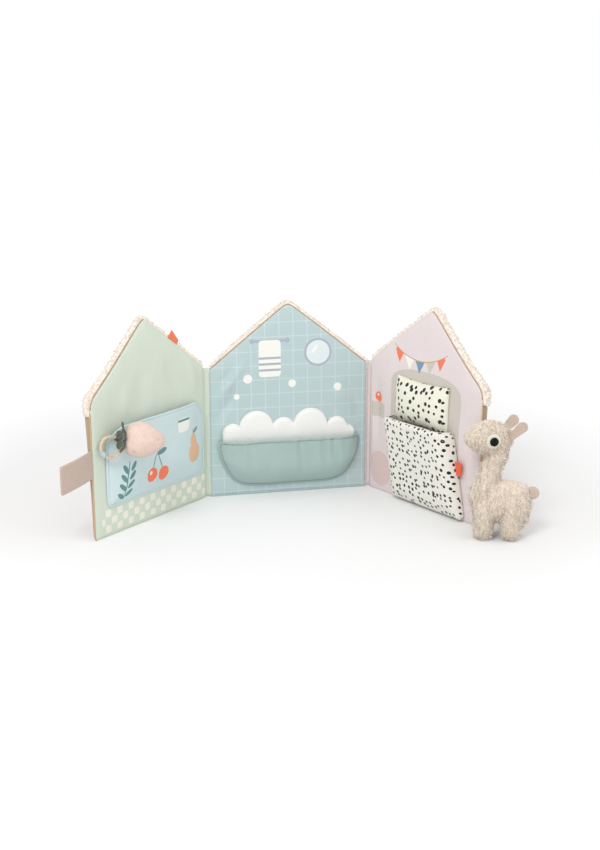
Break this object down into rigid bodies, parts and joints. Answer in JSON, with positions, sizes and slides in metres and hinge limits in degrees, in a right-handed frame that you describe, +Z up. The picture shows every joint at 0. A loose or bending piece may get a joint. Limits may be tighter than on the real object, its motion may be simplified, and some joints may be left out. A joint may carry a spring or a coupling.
{
  "type": "baby soft book",
  "caption": "Fold-out fabric house book for a baby: padded gabled pages with patch pockets, a ring with a plush strawberry, a closing strap and a stuffed llama.",
  "frame": {"origin": "on the ground, at the middle of the centre page's foot", "axes": "+X to the viewer's right along the centre page, -Y out of the centre page's front, +Z up"},
  "size_m": [0.5337, 0.2536, 0.2438],
  "materials": {
    "sage_cotton": "matte woven cotton, sage green",
    "blue_cotton": "matte woven cotton, light blue-green with a fine white grid",
    "lilac_cotton": "matte woven cotton, greyed lilac",
    "pocket_cotton": "matte woven cotton, light blue-grey",
    "tub_jersey": "matte jersey, grey-teal, gathered",
    "white_velour": "short-pile velour, white",
    "dotted_cotton": "matte woven cotton, cream with small black dots",
    "wadding": "polyester wadding",
    "brown_cloth": "brushed cloth, warm brown",
    "teddy_plush": "curly teddy plush, cream",
    "taupe_velour": "short-pile velour, taupe",
    "orange_tape": "folded woven tape, orange-red, bare",
    "hook_tape": "hook-and-loop tape",
    "wood": "smooth unvarnished beech",
    "strawberry_plush": "short plush, pale pink",
    "leaf_felt": "felt, dark grey-green",
    "llama_plush": "short curly plush, cream-beige",
    "ear_felt": "brushed felt, taupe",
    "patch_felt": "felt, off-white",
    "black_gloss": "polished bead, black"
  },
  "bodies": {
    "centre_page": {"centre_front_cover": "blue_cotton", "centre_wadding": "wadding", "centre_wall_back": "brown_cloth", "centre_roof_plush": "teddy_plush", "left_fold_spine": "sage_cotton", "right_fold_spine": "lilac_cotton", "tub_pocket": "tub_jersey", "foam_pad": "white_velour"},
    "left_page": {"left_front_cover": "sage_cotton", "left_wadding": "wadding", "left_wall_back": "brown_cloth", "left_roof_plush": "teddy_plush", "food_pocket": "pocket_cotton", "ring_loop": "pocket_cotton", "roof_label": "orange_tape"},
    "right_page": {"right_front_cover": "lilac_cotton", "right_wadding": "wadding", "right_wall_back": "brown_cloth", "right_roof_plush": "teddy_plush", "pillow": "dotted_cotton", "duvet_pocket": "dotted_cotton", "duvet_tab": "orange_tape", "strap_loop_tape": "hook_tape"},
    "strap": {"closing_strap": "taupe_velour", "strap_hook_tape": "hook_tape"},
    "strawberry": {"wooden_ring": "wood", "strawberry_loop": "leaf_felt", "strawberry_leaves": "leaf_felt", "strawberry_body": "strawberry_plush"},
    "llama": {"llama_body": "llama_plush", "llama_neck": "llama_plush", "llama_head": "llama_plush", "llama_front_left_leg": "llama_plush", "llama_front_right_leg": "llama_plush", "llama_rear_left_leg": "llama_plush", "llama_rear_right_leg": "llama_plush", "llama_left_ear": "ear_felt", "llama_right_ear": "ear_felt", "llama_left_eye_patch": "patch_felt", "llama_right_eye_patch": "patch_felt", "llama_left_eye": "black_gloss", "llama_right_eye": "black_gloss", "llama_tail": "ear_felt"}
  },
  "joints": [
    {"name": "left_fold", "type": "hinge", "parent": "centre_page", "child": "left_page", "pos_m": [-0.106, -0.0003, 0], "axis": [0, 0, 1], "range_deg": [-61.5, 76]},
    {"name": "right_fold", "type": "hinge", "parent": "centre_page", "child": "right_page", "pos_m": [0.1045, -0.0003, 0], "axis": [0, 0, -1], "range_deg": [-84.5, 40.5]},
    {"name": "closing_strap", "type": "hinge", "parent": "left_page", "child": "strap", "pos_m": [-0.25376, -0.12849, 0.091], "axis": [0, 0, -1], "range_deg": [-54, 96]},
    {"name": "strawberry_swing", "type": "hinge", "parent": "left_page", "child": "strawberry", "pos_m": [-0.23077, -0.12564, 0.11], "axis": [0.2797, -0.9443, 0.1737], "range_deg": [-20, 80]},
    {"name": "llama_lift", "type": "slide", "parent": "centre_page", "child": "llama", "axis": [0, 0, 1], "range_m": [0, 0.12]}
  ]
}
